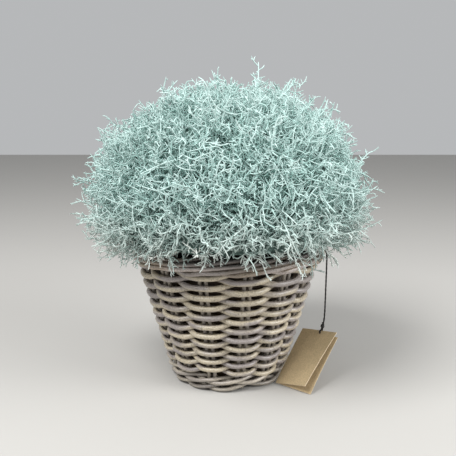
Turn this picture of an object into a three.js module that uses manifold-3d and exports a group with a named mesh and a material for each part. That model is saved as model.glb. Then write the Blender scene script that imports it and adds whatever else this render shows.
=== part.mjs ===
// A cushion bush in a woven rattan basket, with a folded card tag on a string.
// Millimetres, +Z up. The origin is the middle of the basket's underside, and the front is -Y.
import Module from 'manifold-3d';
import * as THREE from 'three';
import { mergeVertices } from 'three/addons/utils/BufferGeometryUtils.js';

const wasm = await Module();
wasm.setup();

// Driving dimensions of the basket
const CLEARANCE = 0.35;
const STAKE_PAIRS = 13;
const FIRST_STAKE_DEGREES = -78;
const STAKE_RADIUS = 2.5;
const STAKES_APART = 8;
const STAKE_FOOT = 3;
const STAKE_TOP = 187;
const WALL_RADIUS = 78.4;
const WALL_RADIUS_HEIGHT = 25;
const WALL_FLARE = 0.271;
const FOOT_CURVE = 0.0056;

// Driving dimensions of the weave: the foot wale, the wall and the border
const WALE_ROD_RADIUS = 2.3;
const WALE_FOOT = 5.2;
const WALE_PITCH = 4.9;
const WALE_ROWS = 2;
const WALE_BULGE = 2.2;
const WEAVER_FOOT = 24.8;
const WEAVER_TURNS = 22;
const WEAVER_PITCH = 6.08;
const WEAVER_PITCH_GROWTH = 0.028;
const WEAVER_COUNT = 5;
const WEAVER_THIN = 2.65;
const WEAVER_THICK = 3.1;
const BORDER_ROD_HALF = 2.6;
const BORDER_RADIUS = 131.2;
const BORDER_FOOT = 175.2;
const BORDER_STEP = 6.15;

// Driving dimensions of what the basket holds
const BASE_RADIUS = 66.7;
const BASE_THICKNESS = 6.3;
const LINER_WALL = 1.2;
const LINER_FLOOR = 6.9;
const LINER_TOP = 177;
const LINER_INSET = 10.4;
const SOIL_TOP = 171;
const SOIL_LUMPS = 4;
const SOIL_HOLE_DEPTH = 24;
const STEM_RADIUS = 13;
const STEM_LENGTH = 60;

// Driving dimensions of the bush
const BUSH_X = 2;
const BUSH_MIDDLE = 215;
const BUSH_RADIUS = 188;
const BUSH_RISE = 192;
const BUSH_DROP = 65;
const BUSH_SQUARENESS = 2.4;
const CORE_SHARE = 0.7;
const CORE_LUMPS = 0.045;
const CORE_UNDERSIDE = 203;
const SPRIG_COUNT = 76;
const SPRIG_ROOT_RADIUS = 2.3;
const SPRIG_ROOT_SHARE = 0.58;
const SPRIG_STRAY = 16;
const STEM_SHARE = 0.34;
const LOWEST_SPRIG_DEGREES = -13;

// Driving dimensions of the twigs that hang over the rim
const HANGING_SPRIGS = 13;
const HANGING_ROOT_RADIUS = 112;
const HANGING_ROOT_HEIGHT = 212;
const HANGING_REACH = 151;
const HANGING_TIP = 166;
const RIM_CLEAR_RADIUS = 139;
const STRING_CLEAR_RADIUS = 142;
const RIM_CLEAR_HEIGHT = 212;
const SHOULDER_RADIUS = 142;
const SHOULDER_HEIGHT = 206;

// Driving dimensions of the tag and its string
const STRING_RADIUS = 1.2;
const STRING_SIDES = 8;
const CARD_THICKNESS = 0.7;
const CARD_CREASE = 1.5;
const CARD_BOW = 0.9;
const CARD_HOLE_RADIUS = 1.8;

// Corners of the folded card: its fold leans on the basket and its back leaf rests on the surface
const FOLD_FOOT = new THREE.Vector3(65.3, -51.3, 2.2);
const FOLD_TOP = new THREE.Vector3(106.1, -9.3, 65.6);
const FRONT_LEAF_TOP = new THREE.Vector3(148.3, -45.6, 72.2);
const FRONT_LEAF_FOOT = new THREE.Vector3(100.9, -91.1, 15);
const BACK_LEAF_TOP = new THREE.Vector3(150.4, -43.1, 64.1);
const BACK_LEAF_FOOT = new THREE.Vector3(109, -85.6, 1);

const STAKE_ANGLE = (2 * Math.PI) / STAKE_PAIRS;
const FIRST_STAKE = THREE.MathUtils.degToRad(FIRST_STAKE_DEGREES);

// One set of random numbers for each piece that needs them, the same on every run
function seeded(seed) {
  let state = seed;
  return () => {
    state = (state + 0x6d2b79f5) | 0;
    let mixed = Math.imul(state ^ (state >>> 15), 1 | state);
    mixed = (mixed + Math.imul(mixed ^ (mixed >>> 7), 61 | mixed)) ^ mixed;
    return ((mixed ^ (mixed >>> 14)) >>> 0) / 4294967296;
  };
}

// The middle of the basket's wall at a height: straight and flared above, rounded in at the foot
function wallRadius(height) {
  const above = height - WALL_RADIUS_HEIGHT;
  const straight = WALL_RADIUS + WALL_FLARE * above;
  return above >= 0 ? straight : straight - FOOT_CURVE * above * above;
}

function wallSlope(height) {
  return WALL_FLARE + 2 * FOOT_CURVE * Math.max(WALL_RADIUS_HEIGHT - height, 0);
}

// A point on the basket, its angle counted in stake pairs from the first one
function around(radius, stakes, height) {
  const angle = FIRST_STAKE + stakes * STAKE_ANGLE;
  return new THREE.Vector3(radius * Math.cos(angle), radius * Math.sin(angle), height);
}

// A rod's path: straight between its points, with its section kept square to the basket's wall,
// or to the basket's axis where it is given no slope
class RodPath extends THREE.Curve {
  constructor(points, slope) {
    super();
    this.points = points;
    this.slope = slope;
  }

  getPoint(t) {
    const last = this.points.length - 1;
    const place = Math.min(Math.max(t, 0), 1) * last;
    const index = Math.min(Math.floor(place), last - 1);
    return this.points[index].clone().lerp(this.points[index + 1], place - index);
  }

  getPointAt(t) {
    return this.getPoint(t);
  }

  computeFrenetFrames() {
    const frames = { tangents: [], normals: [], binormals: [] };
    const last = this.points.length - 1;
    this.points.forEach((point, i) => {
      const into = point.clone().sub(this.points[Math.max(i - 1, 0)]).normalize();
      const outOf = this.points[Math.min(i + 1, last)].clone().sub(point).normalize();
      const tangent = into.add(outOf).normalize();
      const normal = new THREE.Vector3(point.x, point.y, 0).normalize();
      normal.z = -this.slope(point.z);
      normal.addScaledVector(tangent, -normal.dot(tangent)).normalize();
      frames.tangents.push(tangent);
      frames.normals.push(normal);
      frames.binormals.push(new THREE.Vector3().crossVectors(tangent, normal));
    });
    return frames;
  }
}

function ring(sides, radius, turn) {
  const corners = Array.from({ length: sides }, (_, i) => {
    const angle = turn + (i * 2 * Math.PI) / sides;
    return new THREE.Vector2(radius * Math.cos(angle), radius * Math.sin(angle));
  });
  return new THREE.Shape(corners);
}

function rod(points, section, slope = () => 0) {
  return new THREE.ExtrudeGeometry(section, {
    steps: points.length - 1,
    extrudePath: new RodPath(points, slope),
    bevelEnabled: false,
  });
}

// Closed meshes as solids and back, for the joins and cuts
function solidOf(geometry) {
  const bare = new THREE.BufferGeometry();
  bare.setAttribute('position', geometry.getAttribute('position').clone());
  if (geometry.index) bare.setIndex(geometry.index.clone());
  const merged = mergeVertices(bare, 1e-4);
  return new wasm.Manifold(new wasm.Mesh({
    numProp: 3,
    vertProperties: new Float32Array(merged.getAttribute('position').array),
    triVerts: new Uint32Array(merged.index.array),
  }));
}

function geometryOf(solid) {
  const mesh = solid.getMesh();
  const geometry = new THREE.BufferGeometry();
  geometry.setAttribute('position', new THREE.BufferAttribute(new Float32Array(mesh.vertProperties), 3));
  geometry.setIndex(new THREE.BufferAttribute(new Uint32Array(mesh.triVerts), 1));
  return geometry;
}

function geometryFrom(corners, faces) {
  const geometry = new THREE.BufferGeometry();
  geometry.setAttribute('position', new THREE.Float32BufferAttribute(corners.flatMap((c) => c.toArray()), 3));
  geometry.setIndex(faces.flat());
  return geometry;
}

const part = new THREE.Group();

function addPiece(name, geometry, material) {
  if (!geometry.getAttribute('normal')) geometry.computeVertexNormals();
  const mesh = new THREE.Mesh(geometry, material);
  mesh.name = name;
  part.add(mesh);
}

const twoDigits = (number) => String(number).padStart(2, '0');

// Stakes: 13 pairs of straight thin rods, from the base to just under the border
function makeStakes() {
  const rattan = new THREE.MeshStandardMaterial({ color: 0x8f857a, roughness: 0.7, metalness: 0 });
  const section = ring(5, STAKE_RADIUS, 0);
  const heights = [STAKE_FOOT, 10, 18, 28, STAKE_TOP];
  for (let pair = 0; pair < STAKE_PAIRS; pair += 1) {
    for (const [side, shift] of [['left', -0.5], ['right', 0.5]]) {
      const points = heights.map((height) => {
        const radius = wallRadius(height);
        const aside = (shift * STAKES_APART) / (radius * STAKE_ANGLE);
        return around(radius, pair + aside, height);
      });
      addPiece(`stake_${twoDigits(pair + 1)}_${side}`, rod(points, section, wallSlope), rattan);
    }
  }
}

// Rods end behind a stake, each a little short of the next one's start
const BUTT_GAP = 0.4;

// Half of the stretch of a strand that lies straight over a stake pair, counted in stake spacings
const OVER_STAKES = STAKES_APART / 2 + STAKE_RADIUS + 1.2;

function flatHalf(radius) {
  return OVER_STAKES / (radius * STAKE_ANGLE);
}

// A point at a distance out from the wall's middle, square to the wall. Outside, a straight
// stretch over two stakes needs a little more, because the wall is round.
function offWall(stakes, out, height) {
  const radius = wallRadius(height);
  const lean = Math.atan(wallSlope(height));
  const sag = out > 0 ? (OVER_STAKES * OVER_STAKES) / (2 * radius) : 0;
  const square = out + sag;
  return around(radius + square * Math.cos(lean), stakes, height - square * Math.sin(lean));
}

// Foot wale: in each row three rods go in turn before two stake pairs and behind one
function makeFootWale() {
  const rattan = new THREE.MeshStandardMaterial({ color: 0xa39a8c, roughness: 0.65, metalness: 0 });
  const section = ring(4, WALE_ROD_RADIUS, 0);
  const depth = STAKE_RADIUS + WALE_ROD_RADIUS + CLEARANCE;
  for (let row = 0; row < WALE_ROWS; row += 1) {
    const foot = WALE_FOOT + 2 * WALE_PITCH * row;
    const place = (stakes, out, rise) => offWall(stakes, out, foot + WALE_PITCH * rise);
    const half = flatHalf(wallRadius(foot));
    const gap = BUTT_GAP / (wallRadius(foot) * STAKE_ANGLE);
    for (let strand = 0; strand < 3; strand += 1) {
      const points = [place(strand + row + gap, -depth, 0.5)];
      for (let step = 0; step < STAKE_PAIRS - 1; step += 3) {
        const behind = strand + row + step;
        points.push(
          place(behind + half, -depth, 0.5 - half),
          place(behind + 0.5, 0, 0),
          place(behind + 1 - half, depth, 0),
          place(behind + 1 + half, depth, 0),
          place(behind + 1.5, depth + WALE_BULGE, 0.5),
          place(behind + 2 - half, depth, 1),
          place(behind + 2 + half, depth, 1),
          place(behind + 2.5, 0, 1),
          place(behind + 3 - half, -depth, 0.5 + half),
        );
      }
      points.push(place(strand + row + STAKE_PAIRS - 1 - gap, -depth, 0.5));
      addPiece(`foot_wale_${row + 1}_rod_${strand + 1}`, rod(points, section, wallSlope), rattan);
    }
  }
}

// The middle of the wall's strand after a number of crossings. It rises a little faster on each
// turn, because the strands get thicker towards the rim.
function weaverHeight(stake) {
  const turn = stake / STAKE_PAIRS;
  return WEAVER_FOOT + (WEAVER_PITCH + WEAVER_PITCH_GROWTH * turn) * turn;
}

// Wall: single rods woven in front of one stake pair and behind the next, one long rise of 22 turns.
// The count of pairs is odd, so each turn passes in front where the one below passes behind. Every
// rod starts and ends behind a pair.
function makeWall() {
  const crossings = WEAVER_TURNS * STAKE_PAIRS;
  const startOf = (weaver) => 2 * Math.round((weaver * crossings) / (2 * WEAVER_COUNT));
  for (let weaver = 0; weaver < WEAVER_COUNT; weaver += 1) {
    const share = weaver / (WEAVER_COUNT - 1);
    const halfSide = THREE.MathUtils.lerp(WEAVER_THIN, WEAVER_THICK, share);
    const depth = STAKE_RADIUS + halfSide + CLEARANCE;
    const section = ring(4, halfSide * Math.SQRT2, Math.PI / 4);
    const place = (stakes, out) => offWall(stakes, out, weaverHeight(stakes));
    const first = startOf(weaver);
    const last = startOf(weaver + 1);
    const points = [];
    for (let stake = first; stake <= last; stake += 1) {
      const radius = wallRadius(weaverHeight(stake));
      const half = flatHalf(radius);
      const gap = BUTT_GAP / (radius * STAKE_ANGLE);
      const out = stake % 2 === 0 ? -depth : depth;
      points.push(place(stake === first ? stake + gap : stake - half, out));
      points.push(place(stake === last ? stake - gap : stake + half, out));
    }
    const rattan = new THREE.MeshStandardMaterial({ color: 0xa8a095, roughness: 0.65, metalness: 0 });
    addPiece(`wall_weaver_${weaver + 1}`, rod(points, section, wallSlope), rattan);
  }
}

// Border: 13 thick rods that each rise slantwise past three stake pairs and turn in over the rim.
// One spacing on, the next rod lies just under the last.
function makeBorder() {
  const rattan = new THREE.MeshStandardMaterial({ color: 0x7b6f63, roughness: 0.7, metalness: 0 });
  const section = ring(4, BORDER_ROD_HALF * Math.SQRT2, Math.PI / 4);
  const steps = [
    { at: 0.42, out: -8, rise: 0.38 },
    { at: 0.62, out: -6.3, rise: -0.1 },
    { at: 0.85, out: 0, rise: 0 },
    { at: 1.5, out: 0, rise: 0.65 },
    { at: 2.15, out: 0, rise: 1.3 },
    { at: 2.8, out: 0, rise: 1.95 },
    { at: 3.45, out: 0, rise: 2.6 },
    { at: 3.8, out: -3.5, rise: 2.9 },
    { at: 4.1, out: -10, rise: 3.05 },
    { at: 4.35, out: -17.5, rise: 2.95 },
  ];
  for (let pair = 0; pair < STAKE_PAIRS; pair += 1) {
    const points = steps.map(({ at, out, rise }) => {
      return around(BORDER_RADIUS + out, pair + at, BORDER_FOOT + BORDER_STEP * rise);
    });
    addPiece(`border_rod_${twoDigits(pair + 1)}`, rod(points, section), rattan);
  }
}

// A profile of radius and height pairs, turned round the basket's axis
function turned(profile, segments) {
  const outline = profile.map(([radius, height]) => new THREE.Vector2(radius, height));
  const geometry = new THREE.LatheGeometry(outline, segments);
  geometry.rotateX(Math.PI / 2);
  return geometry;
}

// Base: the flat woven disc that the basket stands on
function makeBase() {
  const rattan = new THREE.MeshStandardMaterial({ color: 0x8b8072, roughness: 0.8, metalness: 0 });
  const edge = 1.6;
  const profile = [
    [0, 0],
    [BASE_RADIUS - edge, 0],
    [BASE_RADIUS, edge],
    [BASE_RADIUS - edge, BASE_THICKNESS],
    [0, BASE_THICKNESS],
  ];
  addPiece('base', turned(profile, 2 * STAKE_PAIRS), rattan);
}

// Liner: a thin plastic cup that keeps the soil in, against the inside of the weave
function linerRadius(height) {
  return wallRadius(height) - LINER_INSET;
}

function makeLiner() {
  const plastic = new THREE.MeshStandardMaterial({ color: 0x1f1e1c, roughness: 0.5, metalness: 0 });
  const heights = [LINER_FLOOR, 15, WALL_RADIUS_HEIGHT, LINER_TOP];
  const outside = heights.map((height) => [linerRadius(height), height]);
  const inside = heights.map((height, i) => {
    return [linerRadius(height) - LINER_WALL, i === 0 ? LINER_FLOOR + LINER_WALL : height];
  });
  const profile = [[0, LINER_FLOOR], ...outside, ...inside.reverse(), [0, LINER_FLOOR + LINER_WALL]];
  addPiece('liner', turned(profile, 2 * STAKE_PAIRS), plastic);
}

// Soil: fills the liner, with a lumpy top and a plain hole that the stem stands in
function makeSoil() {
  const compost = new THREE.MeshStandardMaterial({ color: 0x3a2c22, roughness: 0.95, metalness: 0 });
  const random = seeded(7);
  const side = LINER_WALL + CLEARANCE + 0.3;
  const hole = STEM_RADIUS + CLEARANCE;
  const floor = LINER_FLOOR + LINER_WALL + CLEARANCE;
  const heights = [floor, 15, WALL_RADIUS_HEIGHT, SOIL_TOP - 3];
  const wall = heights.map((height) => [linerRadius(height) - side, height]);
  const top = [84, 56, 32].map((radius) => [radius, SOIL_TOP]);
  const pocket = [
    [hole, SOIL_TOP],
    [hole, SOIL_TOP - SOIL_HOLE_DEPTH],
    [0, SOIL_TOP - SOIL_HOLE_DEPTH],
  ];
  const profile = [[0, floor], ...wall, ...top, ...pocket];
  const heap = turned(profile, 2 * STAKE_PAIRS);
  const lumps = new Map();
  const place = heap.getAttribute('position');
  for (let i = 0; i < place.count; i += 1) {
    const reach = Math.hypot(place.getX(i), place.getY(i));
    if (Math.abs(place.getZ(i) - SOIL_TOP) > 0.01 || reach < hole + 1) continue;
    const key = `${place.getX(i).toFixed(1)} ${place.getY(i).toFixed(1)}`.replace(/-0\.0/g, '0.0');
    if (!lumps.has(key)) lumps.set(key, SOIL_LUMPS * (random() - 0.75));
    place.setZ(i, place.getZ(i) + lumps.get(key));
  }
  addPiece('soil', heap, compost);
}

// How far the bush's outline lies from its middle, in a direction
function outlineReach(direction) {
  const flat = Math.hypot(direction.x, direction.y) / BUSH_RADIUS;
  const rise = direction.z >= 0 ? direction.z / BUSH_RISE : -direction.z / BUSH_DROP;
  return (flat ** BUSH_SQUARENESS + rise ** BUSH_SQUARENESS) ** (-1 / BUSH_SQUARENESS);
}

// The string hangs close to the rim on the right, and twigs near it stay further out
const STRING_TOP = new THREE.Vector3(129.7, -33, 184.9);

function clearOfBasket(corner) {
  if (corner.z > RIM_CLEAR_HEIGHT) return corner;
  const angle = Math.atan2(corner.y, corner.x) - Math.atan2(STRING_TOP.y, STRING_TOP.x);
  const least = Math.abs(angle) < 0.1 ? STRING_CLEAR_RADIUS : RIM_CLEAR_RADIUS;
  const reach = Math.hypot(corner.x, corner.y);
  if (reach >= least) return corner;
  return new THREE.Vector3((corner.x * least) / reach, (corner.y * least) / reach, corner.z);
}

// A sprig: a three-sided stem that forks in three, and each fork ends in three pointed tips.
// Each branch starts on a triangle between two corners of the stem's end and a raised middle.
// Only its root lies inside the bush's core, so the rest is kept clear of the basket.
function sprig({ root, fork, end }, random) {
  const corners = [];
  const faces = [];
  const add = (corner) => corners.push(corner) - 1;
  const stem = fork.clone().sub(root);
  const length = stem.length() + fork.distanceTo(end);
  const onward = end.clone().sub(fork).normalize();
  const axis = stem.clone().normalize();
  const aside = new THREE.Vector3(0, 0, 1).cross(axis);
  if (aside.length() < 0.1) aside.set(1, 0, 0);
  aside.normalize().applyAxisAngle(axis, 2 * Math.PI * random());

  const wall = (from, to) => {
    for (let i = 0; i < 3; i += 1) {
      const j = (i + 1) % 3;
      faces.push([from[i], from[j], to[j]], [from[i], to[j], to[i]]);
    }
  };
  const middleOf = (trio) => trio
    .reduce((sum, i) => sum.add(corners[i]), new THREE.Vector3())
    .divideScalar(3);
  const grow = (trio, offset, taper) => {
    const middle = middleOf(trio);
    return trio.map((i) => {
      return add(corners[i].clone().sub(middle).multiplyScalar(taper).add(middle).add(offset));
    });
  };
  const forkOf = (trio, height) => {
    const top = add(middleOf(trio).addScaledVector(normalOf(trio), height));
    return [[trio[0], trio[1], top], [trio[1], trio[2], top], [trio[2], trio[0], top]];
  };
  const normalOf = (trio) => {
    const [a, b, c] = trio.map((i) => corners[i]);
    return b.clone().sub(a).cross(c.clone().sub(a)).normalize();
  };
  const branchWay = (trio, way, lean) => {
    return normalOf(trio).multiplyScalar(lean).add(way).normalize();
  };

  const foot = [0, 1, 2].map((i) => {
    const arm = aside.clone().applyAxisAngle(axis, (i * 2 * Math.PI) / 3);
    return add(root.clone().addScaledVector(arm, SPRIG_ROOT_RADIUS));
  });
  faces.push([foot[2], foot[1], foot[0]]);
  const neck = grow(foot, stem, 0.85);
  wall(foot, neck);
  for (const branch of forkOf(neck, 1.5)) {
    const way = branchWay(branch, onward, 1.7);
    const reach = length * (0.3 + 0.1 * random());
    const wrist = grow(branch, way.clone().multiplyScalar(reach), 0.8);
    wall(branch, wrist);
    for (const twig of forkOf(wrist, 1.2)) {
      const tipWay = branchWay(twig, way.clone().addScaledVector(onward, 0.7), 1.25);
      const tip = add(middleOf(twig).addScaledVector(tipWay, length * (0.28 + 0.16 * random())));
      faces.push([twig[0], twig[1], tip], [twig[1], twig[2], tip], [twig[2], twig[0], tip]);
    }
  }
  return geometryFrom(corners.map((corner, i) => (i < 3 ? corner : clearOfBasket(corner))), faces);
}

// Where the sprigs stand: spread evenly over the dome, then a skirt that hangs over the rim,
// then the few long ones that stand out of the outline.
function sprigPlaces(random) {
  const middle = new THREE.Vector3(BUSH_X, 0, BUSH_MIDDLE);
  const places = [];
  const addPlace = (root, end) => {
    const fork = root.clone().lerp(end, STEM_SHARE);
    if (end.z < SHOULDER_HEIGHT) {
      fork.set(end.x, end.y, 0).setLength(SHOULDER_RADIUS);
      fork.z = SHOULDER_HEIGHT;
    }
    places.push({ root, fork, end });
  };
  const lowest = Math.sin(THREE.MathUtils.degToRad(LOWEST_SPRIG_DEGREES));
  const goldenAngle = Math.PI * (3 - Math.sqrt(5));
  const toward = (turn, sine) => {
    const flat = Math.sqrt(1 - sine * sine);
    return new THREE.Vector3(flat * Math.cos(turn), flat * Math.sin(turn), sine);
  };
  const onCore = (direction) => {
    const level = direction.clone();
    level.z = Math.max(level.z, 0);
    level.normalize();
    return middle.clone().addScaledVector(level, outlineReach(level) * SPRIG_ROOT_SHARE);
  };
  for (let i = 0; i < SPRIG_COUNT; i += 1) {
    const sine = 1 - ((i + 0.5) / SPRIG_COUNT) * (1 - lowest);
    const turn = i * goldenAngle + 0.25 * (random() - 0.5);
    const direction = toward(turn, sine);
    const reach = outlineReach(direction) * (0.975 + 0.05 * random());
    const astray = new THREE.Vector3(random() - 0.5, random() - 0.5, random() - 0.5);
    const root = onCore(direction).addScaledVector(astray, SPRIG_STRAY);
    addPlace(root, middle.clone().addScaledVector(direction, reach));
  }
  for (let i = 0; i < HANGING_SPRIGS; i += 1) {
    const turn = ((i + 0.6 * random()) / HANGING_SPRIGS) * 2 * Math.PI;
    const out = toward(turn, 0);
    const end = new THREE.Vector3(0, 0, HANGING_TIP + 8 * random());
    end.addScaledVector(out, HANGING_REACH + 6 * random());
    const root = new THREE.Vector3(0, 0, HANGING_ROOT_HEIGHT).addScaledVector(out, HANGING_ROOT_RADIUS);
    addPlace(root, end);
  }
  const longSprigs = [
    { turn: -0.1, sine: 0.97, reach: 221 },
    { turn: 3.2, sine: 0.06, reach: 210 },
    { turn: 0.1, sine: -0.03, reach: 201 },
    { turn: 2.5, sine: 0.62, reach: 209 },
    { turn: 0.6, sine: 0.6, reach: 207 },
    { turn: -1.4, sine: 0.45, reach: 204 },
    { turn: 1.7, sine: 0.5, reach: 206 },
    { turn: 4.4, sine: 0.2, reach: 202 },
  ];
  for (const { turn, sine, reach } of longSprigs) {
    const direction = toward(turn, sine);
    addPlace(onCore(direction), middle.clone().addScaledVector(direction, reach));
  }
  return places;
}

// The bush: a smaller lumpy core on one woody stem, with the forked sprigs standing out of it
function makeBush() {
  const foliage = new THREE.MeshStandardMaterial({ color: 0xb9d2c8, roughness: 0.85, metalness: 0 });
  const random = seeded(21);
  const ball = new THREE.IcosahedronGeometry(1, 4);
  ball.deleteAttribute('normal');
  ball.deleteAttribute('uv');
  const lumpy = mergeVertices(ball, 1e-4);
  const place = lumpy.getAttribute('position');
  for (let i = 0; i < place.count; i += 1) {
    const direction = new THREE.Vector3().fromBufferAttribute(place, i).normalize();
    const reach = outlineReach(direction) * (CORE_SHARE + CORE_LUMPS * (2 * random() - 1));
    const corner = direction.multiplyScalar(reach);
    const height = Math.max(corner.z + BUSH_MIDDLE, CORE_UNDERSIDE);
    place.setXYZ(i, corner.x + BUSH_X, corner.y, height);
  }
  const stemFoot = SOIL_TOP - SOIL_HOLE_DEPTH + CLEARANCE;
  const stem = new THREE.CylinderGeometry(STEM_RADIUS, STEM_RADIUS, STEM_LENGTH, 9);
  stem.rotateX(Math.PI / 2);
  stem.translate(0, 0, stemFoot + STEM_LENGTH / 2);
  const underside = turned([
    [0, SOIL_TOP + 9],
    [66, SOIL_TOP + 10],
    [97, CORE_UNDERSIDE - 8],
    [99, CORE_UNDERSIDE + 12],
    [0, CORE_UNDERSIDE + 12],
  ], 16);

  let bush = solidOf(lumpy).add(solidOf(underside)).add(solidOf(stem));
  for (const where of sprigPlaces(random)) {
    bush = bush.add(solidOf(sprig(where, random)));
  }
  addPiece('cushion_bush', geometryOf(bush), foliage);
}

// String: a thin cord from the rim on the right, down to the hole in the card. The hole is near
// the front leaf's top edge, in the middle of its width.
const CARD_HOLE = FOLD_TOP.clone().lerp(FRONT_LEAF_TOP, 0.55)
  .lerp(FOLD_FOOT.clone().lerp(FRONT_LEAF_FOOT, 0.55), 0.045);
const CARD_FACING = FRONT_LEAF_TOP.clone().sub(FOLD_TOP)
  .cross(FOLD_TOP.clone().sub(FOLD_FOOT)).normalize();
const STRING_ROUTE = [
  STRING_TOP,
  new THREE.Vector3(131.6, -33.4, 183.7),
  new THREE.Vector3(132.7, -33.7, 180.9),
  new THREE.Vector3(133.3, -33.8, 176.8),
  new THREE.Vector3(133.5, -33.8, 172),
  new THREE.Vector3(133.5, -33.8, 165),
  new THREE.Vector3(133.5, -33.8, 155),
  new THREE.Vector3(133.4, -33.8, 145),
  new THREE.Vector3(133.3, -33.8, 135),
  new THREE.Vector3(133.2, -33.8, 125),
  new THREE.Vector3(133.1, -33.8, 115),
  new THREE.Vector3(133, -33.8, 105),
  new THREE.Vector3(132.8, -33.7, 96),
  new THREE.Vector3(132.4, -33.6, 88.5),
  new THREE.Vector3(131.6, -33.5, 82.5),
  new THREE.Vector3(130.4, -33.3, 77.3),
  new THREE.Vector3(128.9, -33, 72.6),
  CARD_HOLE.clone().addScaledVector(CARD_FACING, 1.9).add(new THREE.Vector3(0.4, 0, 0.8)),
  CARD_HOLE.clone().addScaledVector(CARD_FACING, 0.2),
];

function makeString() {
  const cotton = new THREE.MeshStandardMaterial({ color: 0x171615, roughness: 0.9, metalness: 0 });
  addPiece('string', rod(STRING_ROUTE, ring(STRING_SIDES, STRING_RADIUS, 0)), cotton);
}

// Tag: one kraft card folded in two along its left edge and bowed a little along its length,
// with a punched hole for the string. Both faces of a leaf are split into triangles alike.
function makeTag() {
  const card = new THREE.MeshStandardMaterial({ color: 0xb9976b, roughness: 0.85, metalness: 0 });
  const edge = FOLD_TOP.clone().sub(FOLD_FOOT).normalize();
  const rows = [0, 0.25, 0.5, 0.75, 1];
  const shares = [1, 0.6, 0.3];
  const section = (up) => {
    const fold = FOLD_FOOT.clone().lerp(FOLD_TOP, up);
    const front = FRONT_LEAF_FOOT.clone().lerp(FRONT_LEAF_TOP, up).sub(fold);
    const back = BACK_LEAF_FOOT.clone().lerp(BACK_LEAF_TOP, up).sub(fold);
    const facing = front.clone().cross(edge).normalize();
    const backFacing = back.clone().cross(edge).normalize();
    fold.addScaledVector(facing, 4 * CARD_BOW * up * (1 - up));
    const on = (leaf, share, way, side) => {
      return fold.clone().addScaledVector(leaf, share).addScaledVector(way, (side * CARD_THICKNESS) / 2);
    };
    const crease = fold.clone()
      .addScaledVector(front.clone().normalize(), CARD_CREASE)
      .addScaledVector(back.clone().normalize(), CARD_CREASE);
    return [
      ...shares.map((share) => on(back, share, backFacing, -1)),
      fold,
      ...shares.toReversed().map((share) => on(front, share, facing, 1)),
      ...shares.map((share) => on(front, share, facing, -1)),
      crease,
      ...shares.toReversed().map((share) => on(back, share, backFacing, 1)),
    ];
  };
  const corners = rows.flatMap(section);
  const columns = 2 * shares.length + 1;
  const around = 2 * columns;
  const faces = [];
  for (let row = 0; row < rows.length - 1; row += 1) {
    for (let i = 0; i < around; i += 1) {
      const low = row * around + i;
      const lowNext = row * around + ((i + 1) % around);
      if (i < columns) {
        faces.push([low, lowNext, lowNext + around], [low, lowNext + around, low + around]);
      } else {
        faces.push([low, lowNext, low + around], [lowNext, lowNext + around, low + around]);
      }
    }
  }
  const top = (rows.length - 1) * around;
  for (let i = 0; i < columns - 1; i += 1) {
    const inside = around - 1 - i;
    faces.push([i, inside - 1, i + 1], [i, inside, inside - 1]);
    faces.push([top + i, top + i + 1, top + inside - 1], [top + i, top + inside - 1, top + inside]);
  }
  const punch = new THREE.CylinderGeometry(CARD_HOLE_RADIUS, CARD_HOLE_RADIUS, 30, 8);
  punch.applyQuaternion(new THREE.Quaternion().setFromUnitVectors(new THREE.Vector3(0, 1, 0), CARD_FACING));
  punch.translate(CARD_HOLE.x, CARD_HOLE.y, CARD_HOLE.z);
  addPiece('tag', geometryOf(solidOf(geometryFrom(corners, faces)).subtract(solidOf(punch))), card);
}

makeBase();
makeStakes();
makeFootWale();
makeWall();
makeBorder();
makeLiner();
makeSoil();
makeBush();
makeString();
makeTag();

export default part;
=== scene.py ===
# A cushion bush in a woven rattan basket, with a folded card tag on a string.
# Metres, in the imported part's own frame: +Z up, the front is -Y, and the origin is the middle of
# the basket's underside.
import math
import random

import bmesh
import bpy
from mathutils import Matrix, Vector, noise


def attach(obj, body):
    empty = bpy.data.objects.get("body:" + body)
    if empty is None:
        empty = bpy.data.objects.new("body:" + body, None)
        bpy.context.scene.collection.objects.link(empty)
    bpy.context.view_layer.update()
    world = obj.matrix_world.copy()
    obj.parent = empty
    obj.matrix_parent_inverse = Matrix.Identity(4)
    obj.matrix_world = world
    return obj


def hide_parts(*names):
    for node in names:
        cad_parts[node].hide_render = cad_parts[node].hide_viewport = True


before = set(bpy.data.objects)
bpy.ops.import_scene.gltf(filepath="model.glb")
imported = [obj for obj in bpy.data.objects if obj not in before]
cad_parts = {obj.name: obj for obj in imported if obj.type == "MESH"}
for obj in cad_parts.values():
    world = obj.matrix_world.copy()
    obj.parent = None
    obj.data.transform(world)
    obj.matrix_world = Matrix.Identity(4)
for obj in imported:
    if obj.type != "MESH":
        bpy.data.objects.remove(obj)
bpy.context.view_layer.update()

# Camera
# It stands where the photograph was taken from: 0.9 m in front of the basket, 0.18 m above its
# rim, and looks slightly down. The focal length is in pixels of the square photograph.
PHOTO_PIXELS = 456
FOCAL_PIXELS = 640.3
CAMERA_PLACE = (0, -0.875, 0.378)
CAMERA_TILT = math.radians(10.96)


def placed(name, data):
    """A new object in the scene."""
    made = bpy.data.objects.new(name, data)
    bpy.context.scene.collection.objects.link(made)
    return made


lens = bpy.data.cameras.new("camera")
lens.sensor_width = 36
lens.lens = lens.sensor_width * FOCAL_PIXELS / PHOTO_PIXELS
camera = placed("camera", lens)
camera.location = CAMERA_PLACE
camera.rotation_euler = (math.radians(90) - CAMERA_TILT, 0, 0)
bpy.context.scene.camera = camera


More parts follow.
